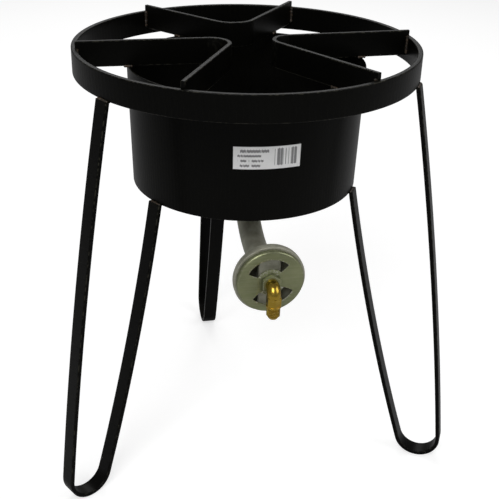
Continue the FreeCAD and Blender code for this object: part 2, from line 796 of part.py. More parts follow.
polygon(flare_section, [
    ("0", collar_top),
    ("thread_collar_radius", collar_top),
    ("thread_collar_radius", thread_top),
    ("thread_radius", thread_top),
    ("thread_radius", "flare_nose_height - elbow_drop"),
    ("flare_nose_radius", "-elbow_drop"),
    ("0", "-elbow_drop"),
])
turn(inlet_elbow, "flare_end", flare_section)
pipe(inlet_elbow, "elbow_passage", elbow_path, "elbow_bore", elbow_mouth, cut=True)
socket = sketch_on(inlet_elbow, "XZ_Plane", "elbow_socket", ("0", "0", nut_front, V(0, 0, 1), "0"))
circle(socket, "0", "0", "elbow_socket_radius")
socket_cut = feature(inlet_elbow, "Pocket", "elbow_socket_cut", socket, Reversed=True)
bind(socket_cut, "Length", "elbow_socket_depth")
at_mouth(inlet_elbow)


# ---- export ----------------------------------------------------------------------------------------------

nodes = [
    pot_ring, *supports, *legs, wind_shroud, shroud_label, burner_strap_front, burner_strap_rear,
    burner_casting, burner_cap, cap_screws, burner_bolts, burner_washers, burner_nuts,
    air_shutter, orifice_spud, friction_washer, lock_nut, inlet_elbow,
]

doc.recompute()
for item in doc.Objects:
    if "Invalid" in item.State or "Error" in item.State:
        raise RuntimeError(f"{item.Label} did not build")
for item in nodes:
    if item.Shape.isNull() or not item.Shape.isValid():
        raise RuntimeError(f"{item.Label} has no sound shape")
    item.Shape.exportStep(f"parts/{item.Label}.step")
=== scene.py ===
import math
import random

import bmesh
import bpy
from mathutils import Matrix, Vector


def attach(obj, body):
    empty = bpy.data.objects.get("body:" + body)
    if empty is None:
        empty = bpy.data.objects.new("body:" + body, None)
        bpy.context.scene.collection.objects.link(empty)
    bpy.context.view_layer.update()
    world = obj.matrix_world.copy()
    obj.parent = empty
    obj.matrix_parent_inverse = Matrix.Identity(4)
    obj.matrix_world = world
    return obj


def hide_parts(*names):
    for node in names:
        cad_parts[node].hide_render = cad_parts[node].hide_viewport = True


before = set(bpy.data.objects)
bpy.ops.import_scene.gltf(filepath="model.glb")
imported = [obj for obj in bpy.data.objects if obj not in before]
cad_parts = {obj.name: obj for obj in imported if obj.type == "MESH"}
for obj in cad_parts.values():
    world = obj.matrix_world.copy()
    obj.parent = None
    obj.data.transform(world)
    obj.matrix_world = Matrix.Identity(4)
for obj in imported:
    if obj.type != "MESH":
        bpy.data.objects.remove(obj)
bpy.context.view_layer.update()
stream = random.Random(11)

# every piece is modelled in millimetres and made metres when it is finished
mm = 0.001
up = Vector((0, 0, 1))


# shaping helpers, in millimetres
def roundCorners(part, verts, offset, segments=3, clamp=False):
    bmesh.ops.bevel(part, geom=verts, affect="VERTICES", offset=offset, offset_type="OFFSET",
                    segments=segments, profile=0.5, material=-1, clamp_overlap=clamp)


def easeEdges(part, edges, offset, segments=2):
    bmesh.ops.bevel(part, geom=edges, affect="EDGES", offset=offset, offset_type="OFFSET",
                    segments=segments, profile=0.5, material=-1)


def tidy(part):
    bmesh.ops.remove_doubles(part, verts=part.verts[:], dist=0.001)
    bmesh.ops.recalc_face_normals(part, faces=part.faces[:])
    return part


def turned(corners, steps=96):  # corners are (radius, height, rounding) round a closed section
    part = bmesh.new()
    verts = [part.verts.new((radius, 0, height)) for radius, height, _ in corners]
    part.faces.new(verts)
    for vert, (_, _, rounding) in zip(verts, corners):
        if rounding:
            roundCorners(part, [vert], rounding)
    bmesh.ops.delete(part, geom=part.faces[:], context="FACES_ONLY")
    onAxis = [edge for edge in part.edges if all(abs(vert.co.x) < 0.001 for vert in edge.verts)]
    bmesh.ops.delete(part, geom=onAxis, context="EDGES")
    bmesh.ops.spin(part, geom=part.verts[:] + part.edges[:], cent=(0, 0, 0), axis=up, dvec=(0, 0, 0),
                   angle=math.tau, steps=steps, use_merge=True, use_duplicate=False)
    return tidy(part)


def barSection(wide, deep, corner, place):  # a rounded rectangle of edges, X wide and Y deep, before place
    part = bmesh.new()
    bmesh.ops.create_grid(part, x_segments=1, y_segments=1, size=0.5)
    bmesh.ops.scale(part, vec=(wide, deep, 1), verts=part.verts[:])
    roundCorners(part, part.verts[:], corner)
    bmesh.ops.delete(part, geom=part.faces[:], context="FACES_ONLY")
    bmesh.ops.transform(part, matrix=place, verts=part.verts[:])
    return part, part.edges[:]


def roundSection(radius, segments, place):
    part = bmesh.new()
    bmesh.ops.create_circle(part, cap_ends=False, radius=radius, segments=segments)
    bmesh.ops.transform(part, matrix=place, verts=part.verts[:])
    return part, part.edges[:]


def run(part, edges, move):
    grown = bmesh.ops.extrude_edge_only(part, edges=edges)["geom"]
    verts = [item for item in grown if isinstance(item, bmesh.types.BMVert)]
    bmesh.ops.translate(part, verts=verts, vec=move)
    return [item for item in grown if isinstance(item, bmesh.types.BMEdge) and item.is_boundary]


def bend(part, edges, centre, axis, angle, steps):
    swept = bmesh.ops.spin(part, geom=edges, cent=centre, axis=axis, dvec=(0, 0, 0), angle=angle,
                           steps=steps, use_merge=False, use_duplicate=False)
    return [item for item in swept["geom_last"] if isinstance(item, bmesh.types.BMEdge)]


def closeEnds(part):
    rims = [edge for edge in part.edges if edge.is_boundary]
    bmesh.ops.holes_fill(part, edges=rims, sides=0)
    return tidy(part)


def hexPrism(radius, low, high, chamfer):
    part = bmesh.new()
    bmesh.ops.create_circle(part, cap_ends=True, radius=radius, segments=6)
    bmesh.ops.translate(part, verts=part.verts[:], vec=(0, 0, low))
    grown = bmesh.ops.extrude_face_region(part, geom=part.faces[:])["geom"]
    top = [item for item in grown if isinstance(item, bmesh.types.BMVert)]
    bmesh.ops.translate(part, verts=top, vec=(0, 0, high - low))
    tidy(part)
    roundCorners(part, part.verts[:], chamfer, segments=1)
    easeEdges(part, [edge for edge in part.edges if edge.calc_face_angle(0) > 0.3], chamfer * 0.12)
    return part


def helixThread(root, crest, pitch, low, high, steps=24):
    part = bmesh.new()
    start = low - pitch
    turns = math.ceil((high - low) / pitch) + 1
    points = [(root, start), (crest, start + pitch * 0.35), (crest, start + pitch * 0.65),
              (root, start + pitch)]
    verts = [part.verts.new((radius, 0, height)) for radius, height in points]
    for first, second in zip(verts, verts[1:]):
        part.edges.new((first, second))
    bmesh.ops.spin(part, geom=part.verts[:] + part.edges[:], cent=(0, 0, 0), axis=up,
                   dvec=(0, 0, pitch / steps), angle=math.tau * turns, steps=steps * turns,
                   use_merge=False, use_duplicate=False)
    tidy(part)
    for height, side in ((low, -1), (high, 1)):
        bmesh.ops.bisect_plane(part, geom=part.verts[:] + part.edges[:] + part.faces[:], dist=0.0001,
                               plane_co=(0, 0, height), plane_no=(0, 0, side), clear_outer=True)
    return part


def gather(parts):  # parts are (bmesh, placing matrix) pairs
    whole = bmesh.new()
    for part, place in parts:
        bmesh.ops.transform(part, matrix=place, verts=part.verts[:])
        spare = bpy.data.meshes.new("spare")
        part.to_mesh(spare)
        part.free()
        whole.from_mesh(spare)
        bpy.data.meshes.remove(spare)
    return whole


def frameFlats(part, border):  # a loop just inside each broad face, so wear stays along the corners
    broad = [face for face in part.faces
             if face.calc_area() / max(edge.calc_length() for edge in face.edges) > 2.6 * border]
    if broad:
        bmesh.ops.inset_individual(part, faces=broad, thickness=border, use_even_offset=True)


def finishPiece(whole, name, body, material, nodes=(), smooth=35):
    whole.normal_update()
    frameFlats(whole, 1.0)
    whole.normal_update()
    edgeLayer = whole.verts.layers.float.new("edge")
    for vert in whole.verts:
        sharpest = max((edge.calc_face_angle(0) for edge in vert.link_edges), default=0)
        vert[edgeLayer] = min(1, sharpest / 0.6)
    bmesh.ops.scale(whole, vec=(mm, mm, mm), verts=whole.verts[:])
    mesh = bpy.data.meshes.new(name)
    whole.to_mesh(mesh)
    whole.free()
    mesh.shade_smooth()
    mesh.set_sharp_from_angle(angle=math.radians(smooth))
    mesh.materials.append(material)
    piece = bpy.data.objects.new(name, mesh)
    bpy.context.scene.collection.objects.link(piece)
    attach(piece, body)
    if nodes:
        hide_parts(*nodes)
    return piece


def moved(x=0, y=0, z=0):
    return Matrix.Translation((x, y, z))


def turnedBy(degrees, axis="Z"):
    return Matrix.Rotation(math.radians(degrees), 4, axis)


def facing(origin, across, upwards, normal):
    place = Matrix((across, upwards, normal)).transposed().to_4x4()
    return Matrix.Translation(origin) @ place


# shader groups: each puts out a mask, a tone or a height
def newGroup(name, inputs, output):
    group = bpy.data.node_groups.new(name, "ShaderNodeTree")
    for label, value in inputs:
        socket = group.interface.new_socket(name=label, in_out="INPUT", socket_type="NodeSocketFloat")
        socket.default_value = value
    group.interface.new_socket(name=output, in_out="OUTPUT", socket_type="NodeSocketFloat")
    return group, group.nodes.new("NodeGroupInput"), group.nodes.new("NodeGroupOutput")


def mathNode(tree, operation, first, second=None, clamp=False):
    node = tree.nodes.new("ShaderNodeMath")
    node.operation = operation
    node.use_clamp = clamp
    for socket, value in zip(node.inputs, (first, second)):
        if isinstance(value, (int, float)):
            socket.default_value = value
        elif value is not None:
            tree.links.new(value, socket)
    return node.outputs[0]


def objectPoint(tree, stretch=(1, 1, 1)):
    spot = tree.nodes.new("ShaderNodeTexCoord").outputs["Object"]
    mapping = tree.nodes.new("ShaderNodeMapping")
    mapping.inputs["Scale"].default_value = stretch
    tree.links.new(spot, mapping.inputs["Vector"])
    return mapping.outputs[0]


def noise(tree, point, scale, detail=4.0, roughness=0.55):
    node = tree.nodes.new("ShaderNodeTexNoise")
    node.inputs["Detail"].default_value = detail
    node.inputs["Roughness"].default_value = roughness
    tree.links.new(point, node.inputs["Vector"])
    if isinstance(scale, (int, float)):
        node.inputs["Scale"].default_value = scale
    else:
        tree.links.new(scale, node.inputs["Scale"])
    return node.outputs["Fac"]


def ramp(tree, value, low, high):
    node = tree.nodes.new("ShaderNodeMapRange")
    node.interpolation_type = "SMOOTHSTEP"
    node.inputs["From Min"].default_value = low
    node.inputs["From Max"].default_value = high
    tree.links.new(value, node.inputs["Value"])
    return node.outputs["Result"]


def buildMottle():  # soft patches of tone
    group, entry, leave = newGroup("mottle", [("Scale", 20), ("Contrast", 1)], "Factor")
    coarse = noise(group, objectPoint(group), entry.outputs["Scale"])
    centred = mathNode(group, "SUBTRACT", coarse, 0.5)
    spread = mathNode(group, "MULTIPLY", centred, entry.outputs["Contrast"])
    group.links.new(mathNode(group, "ADD", spread, 0.5, clamp=True), leave.inputs["Factor"])
    return group


def buildEdgeWear():  # paint or plating rubbed off along corners
    group, entry, leave = newGroup("edgeWear", [("Edge", 0), ("Scale", 300), ("Amount", 0.5)], "Mask")
    grain = noise(group, objectPoint(group), entry.outputs["Scale"], detail=6.0)
    broken = ramp(group, grain, 0.47, 0.62)
    corner = ramp(group, entry.outputs["Edge"], 0.3, 0.9)
    corner = mathNode(group, "MULTIPLY", corner, entry.outputs["Amount"])
    group.links.new(mathNode(group, "MULTIPLY", broken, corner, clamp=True), leave.inputs["Mask"])
    return group


def buildDust():  # pale dust on what faces up
    group, entry, leave = newGroup("dust", [("Scale", 60), ("Amount", 0.3)], "Mask")
    normal = group.nodes.new("ShaderNodeNewGeometry").outputs["Normal"]
    split = group.nodes.new("ShaderNodeSeparateXYZ")
    group.links.new(normal, split.inputs[0])
    upward = ramp(group, split.outputs["Z"], 0.5, 1.0)
    patches = ramp(group, noise(group, objectPoint(group), entry.outputs["Scale"], detail=8.0), 0.4, 0.75)
    settled = mathNode(group, "MULTIPLY", upward, patches)
    group.links.new(mathNode(group, "MULTIPLY", settled, entry.outputs["Amount"]), leave.inputs["Mask"])
    return group


def buildGrain():  # height of a coarse and a fine grain together
    group, entry, leave = newGroup("grain", [("Coarse", 200), ("Fine", 1200), ("Fine share", 0.4)], "Height")
    coarse = noise(group, objectPoint(group), entry.outputs["Coarse"])
    fine = noise(group, objectPoint(group), entry.outputs["Fine"], detail=2.0)
    share = mathNode(group, "MULTIPLY", fine, entry.outputs["Fine share"])
    group.links.new(mathNode(group, "ADD", coarse, share), leave.inputs["Height"])
    return group


def buildBrushed():  # fine lines drawn across one way
    group, entry, leave = newGroup("brushed", [("Scale", 900), ("Contrast", 1)], "Factor")
    lines = noise(group, objectPoint(group, (0.04, 0.3, 1)), entry.outputs["Scale"], detail=3.0)
    centred = mathNode(group, "MULTIPLY", mathNode(group, "SUBTRACT", lines, 0.5), entry.outputs["Contrast"])
    group.links.new(mathNode(group, "ADD", centred, 0.5, clamp=True), leave.inputs["Factor"])
    return group


shaderGroups = {
    "mottle": buildMottle(),
    "edgeWear": buildEdgeWear(),
    "dust": buildDust(),
    "grain": buildGrain(),
    "brushed": buildBrushed(),
}
print("shader groups built")


# finishes, one Principled shader each
def groupNode(tree, name, **values):
    node = tree.nodes.new("ShaderNodeGroup")
    node.node_tree = shaderGroups[name]
    for label, value in values.items():
        node.inputs[label.replace("_", " ")].default_value = value
    return node


def mixColour(tree, factor, first, second):
    node = tree.nodes.new("ShaderNodeMix")
    node.data_type = "RGBA"
    tree.links.new(factor, node.inputs["Factor"])
    for socket, colour in ((node.inputs["A"], first), (node.inputs["B"], second)):
        if isinstance(colour, tuple):
            socket.default_value = (*colour, 1)
        else:
            tree.links.new(colour, socket)
    return node.outputs["Result"]


def finish(name, look):
    material = bpy.data.materials.new(name)
    material.use_nodes = True
    tree = material.node_tree
    shader = tree.nodes["Principled BSDF"]
    shader.inputs["Specular IOR Level"].default_value = look.get("specular", 0.5)

    mottled = groupNode(tree, "mottle", Scale=look["patchScale"], Contrast=look["patchContrast"])
    tone = mottled.outputs["Factor"]
    colour = mixColour(tree, tone, look["dark"], look["light"])
    if "streak" in look:
        lines = groupNode(tree, "brushed", Scale=look["streakScale"], Contrast=1.6).outputs["Factor"]
        share = mathNode(tree, "MULTIPLY", lines, look["streakShare"])
        colour = mixColour(tree, share, colour, look["streak"])

    edge = tree.nodes.new("ShaderNodeAttribute")
    edge.attribute_name = "edge"
    worn = groupNode(tree, "edgeWear", Scale=look["wearScale"], Amount=look["wear"])
    tree.links.new(edge.outputs["Fac"], worn.inputs["Edge"])
    wornMask = worn.outputs["Mask"]
    colour = mixColour(tree, wornMask, colour, look["worn"])
    dusty = groupNode(tree, "dust", Scale=look.get("dustScale", 60), Amount=look["dust"]).outputs["Mask"]
    colour = mixColour(tree, dusty, colour, look["dustColour"])
    tree.links.new(colour, shader.inputs["Base Color"])

    rough = mathNode(tree, "MULTIPLY", mathNode(tree, "SUBTRACT", tone, 0.5), look["roughSpread"])
    rough = mathNode(tree, "ADD", rough, look["rough"])
    rough = mathNode(tree, "ADD", rough, mathNode(tree, "MULTIPLY", dusty, 0.4), clamp=True)
    tree.links.new(rough, shader.inputs["Roughness"])
    shader.inputs["Metallic"].default_value = look["metal"]
    if "wornMetal" in look:
        bare = mathNode(tree, "MULTIPLY", wornMask, look["wornMetal"])
        tree.links.new(mathNode(tree, "ADD", bare, look["metal"], clamp=True), shader.inputs["Metallic"])

    height = groupNode(tree, "grain", Coarse=look["coarse"], Fine=look["fine"], Fine_share=look["fineShare"])
    bump = tree.nodes.new("ShaderNodeBump")
    bump.inputs["Strength"].default_value = look["bump"]
    bump.inputs["Distance"].default_value = look["bumpDepth"]
    tree.links.new(height.outputs["Height"], bump.inputs["Height"])
    tree.links.new(bump.outputs["Normal"], shader.inputs["Normal"])
    return material


blackPaint = finish("blackPaint", {
    "dark": (0.0010, 0.0010, 0.0008), "light": (0.0022, 0.0022, 0.0017),
    "patchScale": 9, "patchContrast": 1.4,
    "worn": (0.10, 0.095, 0.07), "wear": 0.25, "wearScale": 240, "wornMetal": 0.3,
    "dust": 0.05, "dustScale": 45, "dustColour": (0.12, 0.12, 0.095),
    "rough": 0.34, "roughSpread": 0.06, "metal": 0.0, "specular": 0.065,
    "coarse": 260, "fine": 1500, "fineShare": 0.35, "bump": 0.25, "bumpDepth": 0.0004,
})
castGrey = finish("castGrey", {
    "dark": (0.17, 0.17, 0.122), "light": (0.46, 0.455, 0.37),
    "patchScale": 55, "patchContrast": 1.8,
    "worn": (0.42, 0.41, 0.36), "wear": 0.6, "wearScale": 320, "wornMetal": 0.3,
    "dust": 0.25, "dustScale": 90, "dustColour": (0.33, 0.31, 0.24),
    "rough": 0.5, "roughSpread": 0.25, "metal": 0.35,
    "coarse": 420, "fine": 1700, "fineShare": 0.5, "bump": 0.7, "bumpDepth": 0.0008,
})
oliveZinc = finish("oliveZinc", {
    "dark": (0.13, 0.145, 0.062), "light": (0.24, 0.26, 0.13),
    "patchScale": 42, "patchContrast": 1.9,
    "streak": (0.40, 0.40, 0.30), "streakScale": 700, "streakShare": 0.3,
    "worn": (0.6, 0.59, 0.52), "wear": 0.9, "wearScale": 500, "wornMetal": 0.2,
    "dust": 0.1, "dustScale": 80, "dustColour": (0.3, 0.3, 0.24),
    "rough": 0.36, "roughSpread": 0.2, "metal": 0.75,
    "coarse": 120, "fine": 1800, "fineShare": 0.15, "bump": 0.15, "bumpDepth": 0.0005,
})
zincPlate = finish("zincPlate", {
    "dark": (0.20, 0.20, 0.15), "light": (0.44, 0.435, 0.37),
    "patchScale": 120, "patchContrast": 1.7,
    "streak": (0.7, 0.69, 0.64), "streakScale": 1400, "streakShare": 0.35,
    "worn": (0.74, 0.73, 0.69), "wear": 0.7, "wearScale": 800,
    "dust": 0.15, "dustColour": (0.3, 0.29, 0.24),
    "rough": 0.33, "roughSpread": 0.2, "metal": 0.95,
    "coarse": 300, "fine": 2500, "fineShare": 0.4, "bump": 0.2, "bumpDepth": 0.0002,
})
yellowBrass = finish("yellowBrass", {
    "dark": (0.27, 0.16, 0.012), "light": (0.44, 0.295, 0.035),
    "patchScale": 90, "patchContrast": 1.6,
    "streak": (0.66, 0.49, 0.13), "streakScale": 1300, "streakShare": 0.3,
    "worn": (0.8, 0.64, 0.26), "wear": 0.4, "wearScale": 700,
    "dust": 0.06, "dustColour": (0.3, 0.25, 0.14),
    "rough": 0.22, "roughSpread": 0.16, "metal": 1.0,
    "coarse": 500, "fine": 2600, "fineShare": 0.3, "bump": 0.15, "bumpDepth": 0.0002,
})
weldScale = finish("weldScale", {
    "dark": (0.007, 0.0065, 0.005), "light": (0.022, 0.017, 0.012),
    "patchScale": 260, "patchContrast": 2.2,
    "worn": (0.16, 0.10, 0.06), "wear": 0.45, "wearScale": 500, "wornMetal": 0.3,
    "dust": 0.1, "dustColour": (0.16, 0.16, 0.13),
    "rough": 0.4, "roughSpread": 0.25, "metal": 0.1,
    "coarse": 900, "fine": 3000, "fineShare": 0.5, "bump": 0.5, "bumpDepth": 0.0005,
})


def printedPaper(look):
    material = bpy.data.materials.new("printedPaper")
    material.use_nodes = True
    tree = material.node_tree
    shader = tree.nodes["Principled BSDF"]
    shader.inputs["Specular IOR Level"].default_value = 0.35
    split = tree.nodes.new("ShaderNodeSeparateXYZ")
    uv = tree.nodes.new("ShaderNodeUVMap")
    uv.uv_map = "print"
    tree.links.new(uv.outputs["UV"], split.inputs[0])
    across, along = split.outputs["X"], split.outputs["Y"]

    def between(value, low, high):
        above = mathNode(tree, "GREATER_THAN", value, low)
        return mathNode(tree, "MULTIPLY", above, mathNode(tree, "LESS_THAN", value, high))

    def cellNoise(value, count, seed):
        cell = mathNode(tree, "FLOOR", mathNode(tree, "MULTIPLY", value, count))
        node = tree.nodes.new("ShaderNodeTexWhiteNoise")
        node.noise_dimensions = "1D"
        tree.links.new(mathNode(tree, "ADD", cell, seed), node.inputs["W"])
        return node.outputs["Value"]

    ink = None
    for row, (low, high, reach) in enumerate(look["rows"]):
        words = mathNode(tree, "GREATER_THAN", cellNoise(across, look["letters"], 17.5 + 61 * row), 0.27)
        band = mathNode(tree, "MULTIPLY", between(along, low, high), between(across, 0.06, reach))
        bar = mathNode(tree, "MULTIPLY", band, words)
        ink = bar if ink is None else mathNode(tree, "MAXIMUM", ink, bar)
    stripes = mathNode(tree, "GREATER_THAN", cellNoise(across, look["stripes"], 3.5), 0.45)
    for low, high in look["stripeBands"]:
        block = mathNode(tree, "MULTIPLY", between(along, low, high), between(across, *look["stripeSpan"]))
        ink = mathNode(tree, "MAXIMUM", ink, mathNode(tree, "MULTIPLY", block, stripes))
    faded = mathNode(tree, "MULTIPLY", ink, look["inkStrength"])
    tone = groupNode(tree, "mottle", Scale=80, Contrast=1.2).outputs["Factor"]
    paper = mixColour(tree, tone, look["dark"], look["light"])
    tree.links.new(mixColour(tree, faded, paper, look["ink"]), shader.inputs["Base Color"])
    rough = mathNode(tree, "ADD", mathNode(tree, "MULTIPLY", tone, 0.1), 0.4)
    tree.links.new(rough, shader.inputs["Roughness"])
    height = groupNode(tree, "grain", Coarse=500, Fine=2600, Fine_share=0.6)
    bump = tree.nodes.new("ShaderNodeBump")
    bump.inputs["Strength"].default_value = 0.12
    bump.inputs["Distance"].default_value = 0.0002
    tree.links.new(height.outputs["Height"], bump.inputs["Height"])
    tree.links.new(bump.outputs["Normal"], shader.inputs["Normal"])
    return material


stickerPaper = printedPaper({
    "dark": (0.66, 0.66, 0.66), "light": (0.82, 0.82, 0.82), "ink": (0.03, 0.03, 0.035), "inkStrength": 0.75,
    "rows": [(0.76, 0.89, 0.51), (0.55, 0.65, 0.42), (0.32, 0.42, 0.44), (0.09, 0.19, 0.39)],
    "letters": 46, "stripes": 96, "stripeSpan": (0.57, 0.94), "stripeBands": [(0.14, 0.93)],
})
print("materials built")


# flat bar rolled on edge
topRing = {"outerRadius": 203, "thickness": 6, "low": 504, "high": 534, "corner": 1.1, "steps": 192}


def makeTopRing(size):
    inner = size["outerRadius"] - size["thickness"]
    corners = [(inner, size["low"]), (size["outerRadius"], size["low"]),
               (size["outerRadius"], size["high"]), (inner, size["high"])]
    ring = turned([(radius, height, size["corner"]) for radius, height in corners], size["steps"])
    finishPiece(gather([(ring, Matrix())]), "topRing", "stand", blackPaint, ["pot_ring"])


makeTopRing(topRing)
print("top ring done")


# flat bar on edge, bent to a V
# each bar: piece, CAD node, apex from the middle, inner bend radius, direction
potSupport = {
    "reach": 197, "spread": 30, "thickness": 5, "depth": 30, "low": 512, "corner": 1.0, "intoRing": 1.5,
    "steps": 20,
    "bars": [
        ("supportLeft", "pot_support_left", 34, 22, 210),
        ("supportRight", "pot_support_right", 34, 22, 330),
        ("supportRear", "pot_support_rear", 62, 28, 90),
    ],
}


def supportPath(size, apex, radius):
    # bend centre, angle where the right arm leaves the bend, and the arm's two centre points
    half = size["thickness"] / 2
    centre = Vector((0, apex + radius, 0))
    lean = math.radians(size["spread"])
    tip = Vector((math.sin(lean), math.cos(lean), 0)) * size["reach"]
    span = tip - centre
    leave = math.atan2(span.y, span.x) - math.acos((radius + half) / span.length)
    outward = Vector((math.cos(leave), math.sin(leave), 0))
    return centre, leave, outward, centre + outward * radius, tip - outward * half


def makePotSupports(size):
    for name, node, apex, radius, direction in size["bars"]:
        centre, leave, outward, touch, tip = supportPath(size, apex, radius)
        arm = touch - tip
        start = tip - arm.normalized() * size["intoRing"]
        middle = up * (size["low"] + size["depth"] / 2)
        across = up.cross(arm.normalized())
        section = facing(start + middle, across, up, across.cross(up))
        bar, edges = barSection(size["thickness"], size["depth"], size["corner"], section)
        edges = run(bar, edges, touch - start)
        edges = bend(bar, edges, centre, up, -(math.pi + 2 * leave), size["steps"])
        back = start - touch
        run(bar, edges, Vector((-back.x, back.y, 0)))
        whole = gather([(closeEnds(bar), turnedBy(direction - 90))])
        finishPiece(whole, name, "stand", blackPaint, [node])


makePotSupports(potSupport)
print("pot supports done")


# one flat strip each: down outside, round the foot, up to the shroud
hairpinLeg = {
    "wide": 20, "thickness": 5, "corner": 1.1, "footRadius": 254, "footBend": 27,
    "outerTip": (206, 504), "innerTip": (135.5, 367), "outerArc": 5600, "innerArc": 2900,
    "steps": 28, "footSteps": 26, "spare": 4,
    "cuts": [(460, 600, 504, True), (330, 400, 367, False)],  # from, to, cut height, outer strip
    "stripsMeet": 170,  # between the two strips, measured from the middle
    "legs": [("legFrontLeft", "leg_front_left", 210), ("legFrontRight", "leg_front_right", 330),
             ("legRear", "leg_rear", 90)],
}


def stripCentre(tip, foot, radius, footRadius, side):
    # centre of the big circle that passes the tip and touches the foot's circle
    span = foot - tip
    along = (radius ** 2 - (radius - footRadius) ** 2 + span.length ** 2) / (2 * span.length)
    across = math.sqrt(radius ** 2 - along ** 2)
    unit = span.normalized()
    return tip + unit * along + Vector((-unit.z, 0, unit.x)) * across * side


def angleFrom(centre, point):
    return math.atan2(point.z - centre.z, point.x - centre.x)


def makeLegs(size):
    half = size["thickness"] / 2
    clockwise = Vector((0, 1, 0))
    foot = Vector((size["footRadius"], 0, size["footBend"] + half))
    outerTip = Vector((size["outerTip"][0], 0, size["outerTip"][1]))
    innerTip = Vector((size["innerTip"][0], 0, size["innerTip"][1]))
    outerCentre = stripCentre(outerTip, foot, size["outerArc"] + half, size["footBend"] + half, -1)
    innerCentre = stripCentre(innerTip, foot, size["innerArc"] + half, size["footBend"] + half, 1)
    outerTop = angleFrom(outerCentre, outerTip) + size["spare"] / size["outerArc"]
    outerFoot = angleFrom(outerCentre, foot)
    innerFoot = angleFrom(innerCentre, foot) % math.tau
    innerTop = angleFrom(innerCentre, innerTip) % math.tau - size["spare"] / size["innerArc"]
    radial = Vector((math.cos(outerTop), 0, math.sin(outerTop)))
    start = outerCentre + radial * size["outerArc"]
    sideways = Vector((0, 1, 0))
    section = facing(start, radial, sideways, radial.cross(sideways))
    for name, node, direction in size["legs"]:
        strip, edges = barSection(size["thickness"], size["wide"], size["corner"], section)
        edges = bend(strip, edges, outerCentre, clockwise, outerTop - outerFoot, size["steps"])
        edges = bend(strip, edges, foot, clockwise, (outerFoot - innerFoot) % math.tau, size["footSteps"])
        bend(strip, edges, innerCentre, clockwise, innerFoot - innerTop, size["steps"])
        for low, high, level, outer in size["cuts"]:
            inside = [face for face in strip.faces if low < face.calc_center_median().z < high
                      and (face.calc_center_median().x > size["stripsMeet"]) == outer]
            around = list(dict.fromkeys(item for face in inside for item in (*face.verts, *face.edges)))
            around += inside
            bmesh.ops.bisect_plane(strip, geom=around, dist=0.0001, plane_co=(0, 0, level),
                                   plane_no=(0, 0, 1), clear_outer=True)
        whole = gather([(closeEnds(strip), turnedBy(direction))])
        finishPiece(whole, name, "stand", blackPaint, [node])


makeLegs(hairpinLeg)
print("legs done")


# rolled sheet, a little wider at the top, and its paper sticker
windShroud = {"low": 367, "high": 512, "lowRadius": 137, "highRadius": 140.5, "wall": 1.5, "corner": 0.55,
              "steps": 192}
sticker = {"low": 430, "high": 456, "middle": 268, "wide": 31, "thickness": 0.25, "lift": 0.02, "steps": 24}


def shroudRadius(height, size):
    share = (height - size["low"]) / (size["high"] - size["low"])
    return size["lowRadius"] + (size["highRadius"] - size["lowRadius"]) * share


def makeShroud(size):
    wall = turned([
        (size["lowRadius"] - size["wall"], size["low"], size["corner"]),
        (size["lowRadius"], size["low"], size["corner"]),
        (size["highRadius"], size["high"], size["corner"]),
        (size["highRadius"] - size["wall"], size["high"], size["corner"]),
    ], size["steps"])
    finishPiece(gather([(wall, Matrix())]), "windShroud", "stand", blackPaint, ["wind_shroud"])


def makeSticker(size, shroud):
    part = bmesh.new()
    start = math.radians(size["middle"] - size["wide"] / 2)
    verts = [part.verts.new((shroudRadius(height, shroud) + size["lift"], 0, height))
             for height in (size["low"], size["high"])]
    part.edges.new(verts)
    bmesh.ops.rotate(part, cent=(0, 0, 0), matrix=Matrix.Rotation(start, 3, "Z"), verts=part.verts[:])
    bmesh.ops.spin(part, geom=part.verts[:] + part.edges[:], cent=(0, 0, 0), axis=up, dvec=(0, 0, 0),
                   angle=math.radians(size["wide"]), steps=size["steps"], use_merge=False,
                   use_duplicate=False)
    tidy(part)
    if part.faces[0].normal.dot(part.faces[0].calc_center_median()) < 0:
        bmesh.ops.reverse_faces(part, faces=part.faces[:])
    bmesh.ops.solidify(part, geom=part.faces[:], thickness=-size["thickness"])
    uvLayer = part.loops.layers.uv.new("print")
    for face in part.faces:
        for loop in face.loops:
            turn = (math.atan2(loop.vert.co.y, loop.vert.co.x) - start) % math.tau
            loop[uvLayer].uv = (turn / math.radians(size["wide"]),
                                (loop.vert.co.z - size["low"]) / (size["high"] - size["low"]))
    finishPiece(part, "sticker", "stand", stickerPaper, ["shroud_label"])


makeShroud(windShroud)
makeSticker(sticker, windShroud)
print("shroud done")


# two straps under the burner, cut to the shroud's curve
strap = {"wide": 20, "thickness": 4, "low": 373, "offset": 32, "corner": 0.8, "wallRadius": 135.5,
         "blank": 300}


def makeStraps(size):
    for name, node, side in (("strapFront", "burner_strap_front", -1), ("strapRear", "burner_strap_rear", 1)):
        middle = Vector((-size["blank"] / 2, side * size["offset"], size["low"] + size["thickness"] / 2))
        section = facing(middle, Vector((0, 1, 0)), up, Vector((1, 0, 0)))
        bar, edges = barSection(size["wide"], size["thickness"], size["corner"], section)
        run(bar, edges, Vector((size["blank"], 0, 0)))
        closeEnds(bar)
        lean = math.asin(size["offset"] / size["wallRadius"])
        for end in (-1, 1):
            wallWay = Vector((end * math.cos(lean), side * math.sin(lean), 0))
            bmesh.ops.bisect_plane(bar, geom=bar.verts[:] + bar.edges[:] + bar.faces[:], dist=0.0001,
                                   plane_co=wallWay * size["wallRadius"], plane_no=wallWay, clear_outer=True)
        finishPiece(gather([(closeEnds(bar), Matrix())]), name, "stand", blackPaint, [node])


makeStraps(strap)
print("straps done")


# the cast burner: bell, bridge, mixer tube, head and ears
mouth = {"y": -149, "z": 298, "slope": 2}
# X right, Y up the bell's mouth and Z out of it
mouthPlace = moved(0, mouth["y"], mouth["z"]) @ turnedBy(mouth["slope"] + 90, "X")

